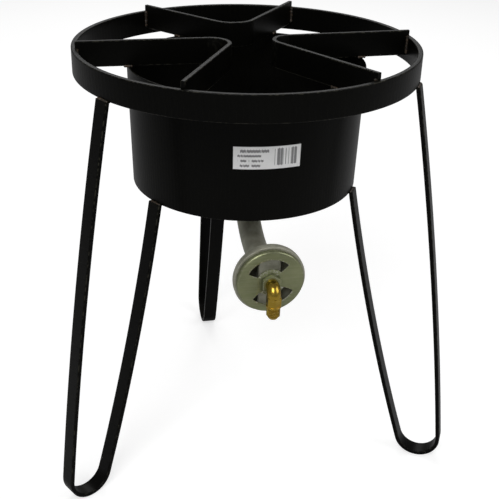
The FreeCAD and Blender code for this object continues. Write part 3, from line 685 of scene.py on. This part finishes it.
casting = {
    "bell": [(14.4, -38, 0), (14.4, -27, 4), (33, -20, 6), (42, -10, 4), (42, 0, 0.8), (37, 0, 0.8),
             (37, -9, 1.5), (30.5, -15, 3), (11, -22, 2), (11, -38, 0)],
    "bridge": (26, 8, 1.4, 39.5),
    "hub": [(6.5, -8, 0), (13, -8, 0), (13, 5, 1.2), (6.5, 5, 0.5)],
    "tubeRadius": 14.5, "tubeBend": 92, "tubeTop": 406, "tubeStart": 22,
    "head": [(0, 396, 0), (24, 396, 5), (76, 410, 4), (76, 425, 0.8), (64, 425, 0.8), (64, 416, 3),
             (24, 404, 3), (0, 404, 0)],
    "ear": (24, 86, 7, 377, 7),
}


def makeMixerTube(size):
    slope = math.radians(mouth["slope"])
    inward = Vector((0, math.cos(slope), math.sin(slope)))
    corner = Vector((0, 0, mouth["z"] - mouth["y"] * math.tan(slope)))
    reach = -mouth["y"] / math.cos(slope)
    turn = math.pi / 2 - slope
    setback = size["tubeBend"] * math.tan(turn / 2)
    start = corner - inward * (reach - size["tubeStart"])
    right = Vector((1, 0, 0))
    tube, edges = roundSection(size["tubeRadius"], 48, facing(start, right, inward.cross(right), inward))
    edges = run(tube, edges, inward * (reach - size["tubeStart"] - setback))
    bendCentre = Vector((0, -size["tubeBend"], corner.z + setback))
    edges = bend(tube, edges, bendCentre, right, turn, 36)
    run(tube, edges, up * (size["tubeTop"] - bendCentre.z))
    return closeEnds(tube)


def makeEars(size):
    wide, long, corner, low, thickness = size["ear"]
    ears, edges = barSection(wide, long, corner, moved(z=low))
    run(ears, edges, up * thickness)
    closeEnds(ears)
    easeEdges(ears, [edge for edge in ears.edges if edge.calc_face_angle(0) > 1], 0.9)
    return ears


def makeBridge(size):
    wide, thickness, corner, reach = size["bridge"]
    section = facing(Vector((0, -reach, -thickness / 2)), Vector((1, 0, 0)), up, Vector((0, -1, 0)))
    bridge, edges = barSection(wide, thickness, corner, section)
    run(bridge, edges, Vector((0, 2 * reach, 0)))
    return closeEnds(bridge)


def makeCasting(size):
    whole = gather([
        (turned(size["bell"], 120), mouthPlace),
        (makeBridge(size), mouthPlace),
        (turned(size["hub"], 64), mouthPlace),
        (makeMixerTube(size), Matrix()),
        (turned(size["head"], 128), Matrix()),
        (makeEars(size), Matrix()),
    ])
    finishPiece(whole, "burnerCasting", "stand", castGrey, ["burner_casting"])


makeCasting(casting)
print("casting done")


# the cap with its rings of gas ports
burnerCap = {
    "section": [(0, 425.2, 0), (78, 425.2, 0.8), (78, 431, 1.2), (60, 431, 2), (56, 433.2, 0), (49, 435.8, 0),
                (45, 437, 0.6), (38, 437, 0), (31, 437, 0), (24, 437, 0), (17, 437, 0), (0, 437, 0)],
    "steps": 96,
    "portRings": [(52.5, 3), (34.5, 4), (20.5, 6)],
    "portInset": 0.9, "portDepth": 3.5,
}


def makeCap(size):
    cap = turned(size["section"], size["steps"])
    ports = []
    for ringRadius, every in size["portRings"]:
        ring = [face for face in cap.faces if face.normal.z > 0.5
                and abs(face.calc_center_median().xy.length - ringRadius) < 0.8]
        ring.sort(key=lambda face: math.atan2(face.calc_center_median().y, face.calc_center_median().x))
        ports += ring[::every]
    bmesh.ops.inset_individual(cap, faces=ports, thickness=size["portInset"] * 0.5, use_even_offset=True)
    sunk = bmesh.ops.extrude_discrete_faces(cap, faces=ports)["faces"]
    for face in sunk:
        bmesh.ops.translate(cap, verts=face.verts[:], vec=-face.normal * size["portDepth"])
    tidy(cap)
    finishPiece(gather([(cap, Matrix())]), "burnerCap", "stand", castGrey, ["burner_cap"])


makeCap(burnerCap)
print("cap done")


# screws on the cap, and bolts through ears and straps
fastener = {
    "screwCircle": 70, "screwDirections": (90, 210, 330), "screwSeat": 431,
    "screwHead": [(0, 0, 0), (4.5, 0, 0.2), (4.5, 1.6, 1.2), (2.6, 3, 0.4), (1.7, 3, 0.2), (1.5, 1.4, 0),
                  (0, 1.4, 0)],
    "bolts": (-32, 32), "earTop": 384, "strapLow": 373,
    "hexRadius": 5.8, "headHeight": 4, "nutHeight": 5, "washer": (3.3, 7, 1.5), "boltEnd": 364.5,
    "shank": 2.7, "pitch": 1.0,
}


def makeScrews(size):
    parts = []
    for direction in size["screwDirections"]:
        head = turned(size["screwHead"], 40)
        spot = turnedBy(direction) @ moved(size["screwCircle"], 0, size["screwSeat"])
        parts.append((head, spot @ turnedBy(stream.uniform(0, 90))))
    finishPiece(gather(parts), "capScrews", "stand", zincPlate, ["cap_screws"])


def makeBolts(size):
    bolts, washers, nuts = [], [], []
    for y in size["bolts"]:
        spot = moved(0, y, 0)
        twist = turnedBy(stream.uniform(0, 60))
        bolts.append((hexPrism(size["hexRadius"], size["earTop"], size["earTop"] + size["headHeight"], 1.0),
                      spot @ twist))
        low, high, shank = size["boltEnd"] + 1, size["earTop"], size["shank"]
        bolts.append((turned([(0, low, 0), (shank, low, 0), (shank, high, 0), (0, high, 0)], 24), spot))
        bolts.append((helixThread(2.6, 3, size["pitch"], size["boltEnd"], size["strapLow"]), spot))
        bore, rim, thick = size["washer"]
        washers.append((turned([(bore, size["strapLow"] - thick, 0.2), (rim, size["strapLow"] - thick, 0.3),
                                (rim, size["strapLow"], 0.3), (bore, size["strapLow"], 0.2)], 48), spot))
        nutTop = size["strapLow"] - thick
        nuts.append((hexPrism(size["hexRadius"], nutTop - size["nutHeight"], nutTop, 1.0), spot @ twist))
    finishPiece(gather(bolts), "burnerBolts", "stand", zincPlate, ["burner_bolts"])
    finishPiece(gather(washers), "burnerWashers", "stand", zincPlate, ["burner_washers"])
    finishPiece(gather(nuts), "burnerNuts", "stand", zincPlate, ["burner_nuts"])


makeScrews(fastener)
makeBolts(fastener)
print("fasteners done")


# a pressed dish with two slots, the only piece that turns
airShutter = {
    "bore": 6.55, "radius": 39.5, "face": 6.5, "rimEnd": 0.3, "corner": 3.0, "metal": 1.2,
    "slotInner": 17, "slotOuter": 29, "slotSweep": 108.75, "slotMiddles": (100, 280), "slotCorner": 2.2,
    "faceSplit": 23.5, "rimSplit": 35, "steps": 96, "lip": 0.3,
}


def makeShutter(size):
    dish = bmesh.new()
    radii = [size[key] for key in ("bore", "slotInner", "faceSplit", "slotOuter", "rimSplit", "radius")]
    chain = [(radius, size["face"]) for radius in radii] + [(size["radius"], size["rimEnd"])]
    verts = [dish.verts.new((radius, 0, height)) for radius, height in chain]
    for first, second in zip(verts, verts[1:]):
        dish.edges.new((first, second))
    roundCorners(dish, [verts[5]], size["corner"], segments=6)
    firstSlot = math.radians(size["slotMiddles"][0] - size["slotSweep"] / 2)
    bmesh.ops.rotate(dish, cent=(0, 0, 0), matrix=Matrix.Rotation(firstSlot, 3, "Z"), verts=dish.verts[:])
    bmesh.ops.spin(dish, geom=dish.verts[:] + dish.edges[:], cent=(0, 0, 0), axis=up, dvec=(0, 0, 0),
                   angle=math.tau, steps=size["steps"], use_merge=True, use_duplicate=False)
    tidy(dish)

    def inSlot(face):
        spot = face.calc_center_median()
        turn = math.degrees(math.atan2(spot.y, spot.x))
        near = any(abs((turn - middle + 180) % 360 - 180) < size["slotSweep"] / 2
                   for middle in size["slotMiddles"])
        between = size["slotInner"] < spot.xy.length < size["slotOuter"]
        return near and between and spot.z > size["face"] - 0.1

    bmesh.ops.delete(dish, geom=[face for face in dish.faces if inSlot(face)], context="FACES")
    corners = [vert for vert in dish.verts if vert.is_boundary
               and size["slotInner"] - 1 < vert.co.xy.length < size["slotOuter"] + 1
               and max(edge.other_vert(vert).co.xy.length for edge in vert.link_edges if edge.is_boundary)
               - min(edge.other_vert(vert).co.xy.length for edge in vert.link_edges if edge.is_boundary) > 4
               and abs(vert.co.xy.length - size["faceSplit"]) > 2]
    roundCorners(dish, corners, size["slotCorner"], segments=4, clamp=True)
    if max(dish.faces, key=lambda face: face.normal.z * face.normal.z).normal.z < 0:
        bmesh.ops.reverse_faces(dish, faces=dish.faces[:])
    bmesh.ops.solidify(dish, geom=dish.faces[:], thickness=size["metal"])
    tidy(dish)
    sharp = [edge for edge in dish.edges if edge.calc_face_angle(0) > 1.2]
    easeEdges(dish, sharp, size["lip"])
    finishPiece(gather([(dish, mouthPlace)]), "airShutter", "shutter", oliveZinc,
                ["air_shutter"], smooth=40)


makeShutter(airShutter)
print("air shutter done")


# spud, friction washer, lock nut and elbow, in line with the mixer tube
gasInlet = {
    "spud": [(0.6, -18, 0.2), (3.5, -18, 0.6), (6.45, -12, 0.5), (6.45, 12.8, 0), (5, 12.8, 0),
             (5, 18.8, 0.3), (2.5, 18.8, 0.3), (2.5, -15, 0), (0.6, -15, 0)],
    "spudThread": (5.95, 6.5, 1.0, -11.5, -8.2),
    "washer": [(6.5, 6.65, 0.2), (10, 6.65, 0.35), (10, 7.75, 0.35), (6.5, 7.75, 0.2)],
    "lockNut": (12, 7.85, 12.8, 1.4),
    "elbowRadius": 8, "elbowReach": 23, "elbowBend": 8.5, "elbowFront": 12.8,
    "elbowHex": (9, 8.5, 20, 0.9),
    "collar": [(3.2, 19.6, 0), (8.8, 19.6, 0.4), (8.8, 22, 0.5), (7.2, 22.6, 0), (3.2, 22.6, 0)],
    "thread": (7.15, 7.94, 1.41, 22.2, 32.9),
    "nose": [(3.2, 21, 0), (7.3, 21, 0), (7.3, 33, 0.4), (5, 37, 0.5), (3.2, 37, 0.3)],
}


def makeGasInlet(size):
    root, crest, pitch, low, high = size["spudThread"]
    spud = [(turned(size["spud"], 64), mouthPlace), (helixThread(root, crest, pitch, low, high), mouthPlace)]
    finishPiece(gather(spud), "orificeSpud", "stand", yellowBrass, ["orifice_spud"])
    finishPiece(gather([(turned(size["washer"], 64), mouthPlace)]), "frictionWasher", "stand", oliveZinc,
                ["friction_washer"])
    radius, low, high, chamfer = size["lockNut"]
    finishPiece(gather([(hexPrism(radius, low, high, chamfer), mouthPlace)]), "lockNut", "stand", oliveZinc,
                ["lock_nut"])

    neck, edges = roundSection(size["elbowRadius"], 48, moved(z=size["elbowFront"] + 0.05))
    edges = run(neck, edges, up * (size["elbowReach"] - size["elbowBend"] - size["elbowFront"]))
    edges = bend(neck, edges, (0, -size["elbowBend"], size["elbowReach"] - size["elbowBend"]),
                 (1, 0, 0), math.pi / 2, 14)
    run(neck, edges, Vector((0, -3, 0)))
    # down the elbow's leg, Z along it
    legPlace = mouthPlace @ moved(z=size["elbowReach"]) @ turnedBy(90, "X")
    radius, low, high, chamfer = size["elbowHex"]
    root, crest, pitch, threadLow, threadHigh = size["thread"]
    elbow = [
        (closeEnds(neck), mouthPlace),
        (hexPrism(radius, low, high, chamfer), legPlace),
        (turned(size["collar"], 64), legPlace),
        (helixThread(root, crest, pitch, threadLow, threadHigh, steps=40), legPlace),
        (turned(size["nose"], 64), legPlace),
    ]
    finishPiece(gather(elbow), "inletElbow", "stand", yellowBrass, ["inlet_elbow"])


makeGasInlet(gasInlet)
print("gas inlet done")


# weld beads where the bars and sheet meet
weld = {
    "radius": 2.0, "pitch": 2.2, "sides": 10, "wobble": 0.16,
    "tipInset": 0.6, "tipSide": 3.0, "tipLow": 514, "tipHigh": 533, "tipSpread": 3,
    "rimRadius": 139.8, "rimSide": 3.2, "rimHalf": 5, "rimHeight": 512.2, "rimBead": 1.5,
    # x, height and bead radius across each leg's two strips
    "legBeads": [(203.4, 503.6, 2.1), (200.2, 503.2, 1.6), (137.6, 366.4, 1.9), (134.6, 366.6, 1.6)],
    "legHalf": 9,
    "strapNear": (133.2, 23.5), "strapFar": (128.6, 40.5), "strapHeight": 377.2, "strapBead": 1.7,
}


def weldBead(start, end, size, radius=None):
    radius = radius or size["radius"]
    along = end - start
    steps = max(3, round(along.length / size["pitch"]))
    way = along.normalized()
    across = way.orthogonal().normalized()
    bead, edges = roundSection(radius * 0.4, size["sides"], facing(start, across, way.cross(across), way))
    centre = start.copy()
    now = radius * 0.4
    for step in range(1, steps * 2 + 1):
        last = step == steps * 2
        swell = 0.4 if last else (1.0 if step % 2 else 0.84) + stream.uniform(-1, 1) * size["wobble"]
        target = radius * swell
        edges = run(bead, edges, along / (steps * 2))
        centre += along / (steps * 2)
        verts = list(dict.fromkeys(vert for edge in edges for vert in edge.verts))
        bmesh.ops.scale(bead, vec=(target / now,) * 3, verts=verts, space=Matrix.Translation(-centre))
        now = target
    return closeEnds(bead)


def makeWelds(size):
    beads = []
    for _, _, apex, radius, direction in potSupport["bars"]:
        _, _, outward, touch, tip = supportPath(potSupport, apex, radius)
        way = (tip - touch).normalized()
        for side in (1, -1):
            foot = tip - way * size["tipInset"] + outward * side * size["tipSide"]
            for flip in (1, -1):
                spot = Vector((foot.x * flip, foot.y, 0))
                low = spot + up * size["tipLow"]
                high = spot + up * (size["tipHigh"] + stream.uniform(0, size["tipSpread"]))
                beads.append((weldBead(low, high, size), turnedBy(direction - 90)))
        # where the arm crosses the shroud's rim
        share = 0.0
        while (touch + (tip - touch) * share).length < size["rimRadius"]:
            share += 0.002
        cross = touch + (tip - touch) * share
        for side in (1, -1):
            for flip in (1, -1):
                middle = cross + outward * side * size["rimSide"]
                first, second = middle - way * size["rimHalf"], middle + way * size["rimHalf"]
                near = Vector((first.x * flip, first.y, size["rimHeight"]))
                far = Vector((second.x * flip, second.y, size["rimHeight"]))
                beads.append((weldBead(near, far, size, size["rimBead"]), turnedBy(direction - 90)))
    for _, _, direction in hairpinLeg["legs"]:
        for x, z, radius in size["legBeads"]:
            near, far = Vector((x, -size["legHalf"], z)), Vector((x, size["legHalf"], z))
            beads.append((weldBead(near, far, size, radius), turnedBy(direction)))
    for side in (-1, 1):
        for end in (-1, 1):
            near, far = (Vector((end * x, side * y, size["strapHeight"]))
                         for x, y in (size["strapNear"], size["strapFar"]))
            beads.append((weldBead(near, far, size, size["strapBead"]), Matrix()))
    finishPiece(gather(beads), "weldBeads", "stand", weldScale, smooth=60)


makeWelds(weld)
print("welds done")


# floor, lamps and camera
studio = {
    "floorSize": 14, "floorColour": (0.55, 0.55, 0.55), "floorGlow": 0.6, "skyBehind": 1.0, "skyLight": 0.3,
    "lamps": [  # name, place, aim, size, watts
        ("keyLamp", (-1.1, -1.9, 2.3), (0, 0, 0.35), 1.4, 42),
        ("fillLamp", (1.9, -1.2, 1.6), (0, 0, 0.35), 1.6, 18),
        ("rearLamp", (0.4, 2.2, 2.4), (0, 0, 0.4), 2.0, 30),
    ],
    "camera": {"place": (-0.22743, -1.01442, 0.7992), "turn": (62.940, -0.953, -11.413), "lens": 64.683,
               "shift": (0.03584, -0.01108)},
}


def makeStudio(size):
    scene = bpy.context.scene
    ground = bmesh.new()
    bmesh.ops.create_grid(ground, x_segments=1, y_segments=1, size=size["floorSize"] / 2)
    mesh = bpy.data.meshes.new("floor")
    ground.to_mesh(mesh)
    ground.free()
    floor = bpy.data.objects.new("floor", mesh)
    scene.collection.objects.link(floor)
    paint = bpy.data.materials.new("floorPaint")
    paint.use_nodes = True
    shader = paint.node_tree.nodes["Principled BSDF"]
    shader.inputs["Base Color"].default_value = (*size["floorColour"], 1)
    shader.inputs["Roughness"].default_value = 0.9
    shader.inputs["Specular IOR Level"].default_value = 0.1
    shader.inputs["Emission Color"].default_value = (1, 1, 1, 1)
    seen = paint.node_tree.nodes.new("ShaderNodeLightPath").outputs["Is Camera Ray"]
    glow = mathNode(paint.node_tree, "MULTIPLY", seen, size["floorGlow"])
    paint.node_tree.links.new(glow, shader.inputs["Emission Strength"])
    mesh.materials.append(paint)

    world = bpy.data.worlds.new("sky")
    world.use_nodes = True
    tree = world.node_tree
    background = tree.nodes["Background"]
    background.inputs["Color"].default_value = (1, 1, 1, 1)
    seen = tree.nodes.new("ShaderNodeLightPath").outputs["Is Camera Ray"]
    extra = mathNode(tree, "MULTIPLY", seen, size["skyBehind"] - size["skyLight"])
    tree.links.new(mathNode(tree, "ADD", extra, size["skyLight"]), background.inputs["Strength"])
    scene.world = world
    for name, spot, aim, wide, watts in size["lamps"]:
        light = bpy.data.lights.new(name, "AREA")
        light.size = wide
        light.energy = watts
        lamp = bpy.data.objects.new(name, light)
        lamp.location = spot
        lamp.rotation_euler = (Vector(aim) - Vector(spot)).to_track_quat("-Z", "Y").to_euler()
        scene.collection.objects.link(lamp)

    view = size["camera"]
    lens = bpy.data.cameras.new("camera")
    lens.sensor_width = 36
    lens.lens = view["lens"]
    lens.shift_x, lens.shift_y = view["shift"]
    camera = bpy.data.objects.new("camera", lens)
    camera.location = view["place"]
    camera.rotation_euler = [math.radians(angle) for angle in view["turn"]]
    scene.collection.objects.link(camera)
    scene.camera = camera
    scene.view_settings.view_transform = "Standard"


makeStudio(studio)
print("studio done")
